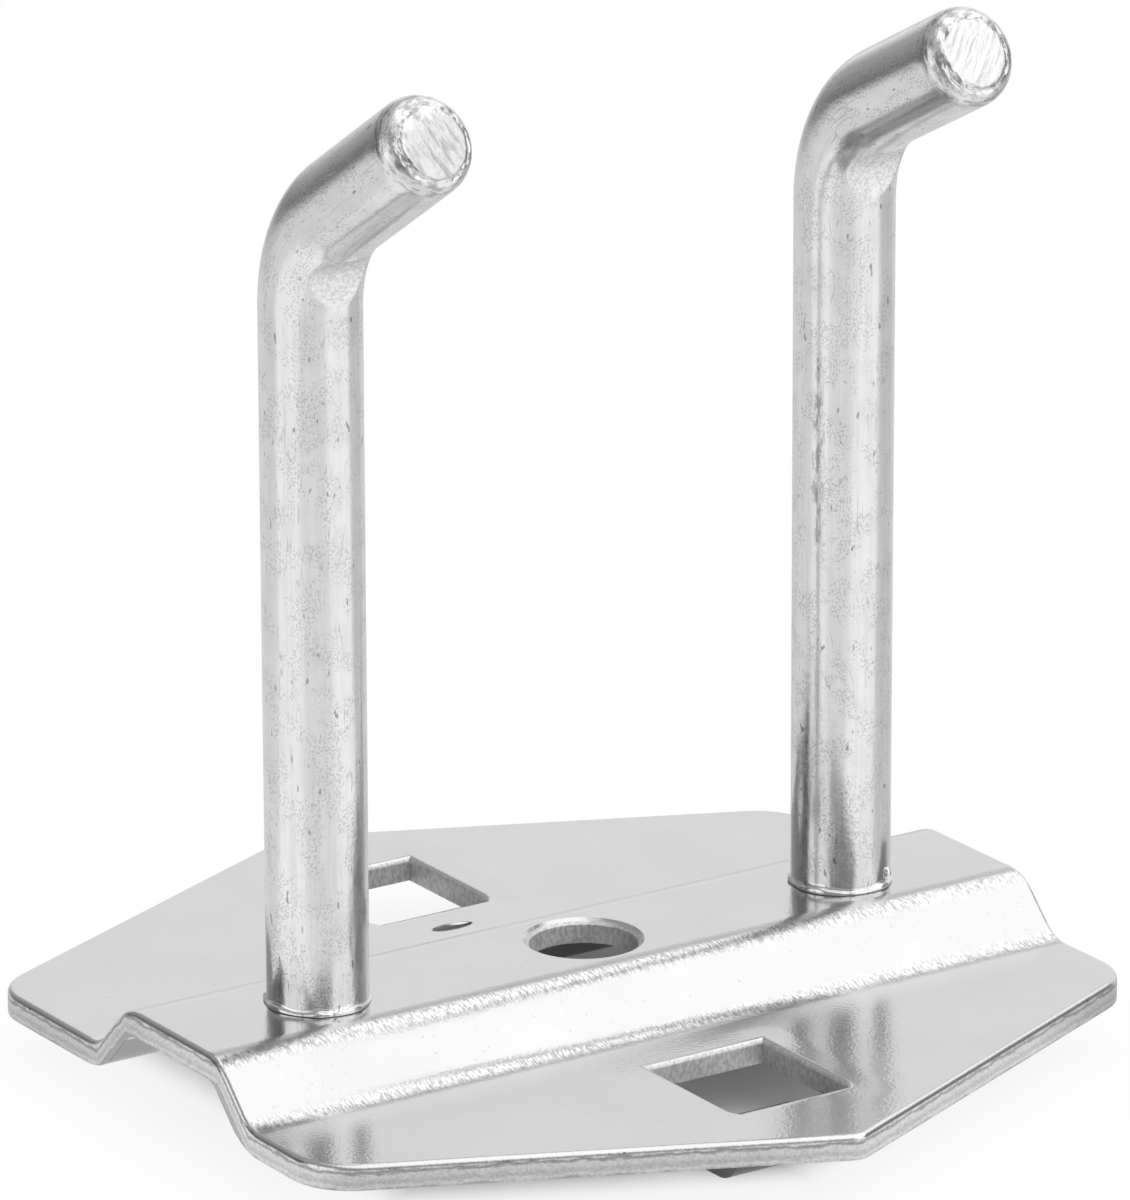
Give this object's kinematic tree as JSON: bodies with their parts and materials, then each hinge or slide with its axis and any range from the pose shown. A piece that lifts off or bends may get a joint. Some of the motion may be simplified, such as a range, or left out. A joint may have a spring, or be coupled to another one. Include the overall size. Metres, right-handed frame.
{
  "type": "pegboard hook",
  "caption": "Zinc-plated steel pegboard hook: a stamped plate with lanced hook tabs, a raised channel and a screw hole, carrying round hanging rods with upturned ends.",
  "frame": {"origin": "middle of the plate's outline at the level of the hook tabs' undersides, which carry it as it lies", "axes": "+X along the raised channel, -Y towards the bent rod ends (up on the board), +Z out from the board along the rods"},
  "size_m": [0.057, 0.0614, 0.0644],
  "materials": {
    "plate_zinc": "bright zinc plating",
    "rod_zinc": "bright zinc plating, drawn"
  },
  "bodies": {
    "root": {"mounting_plate": "plate_zinc", "left_rod": "rod_zinc", "right_rod": "rod_zinc"}
  },
  "joints": []
}
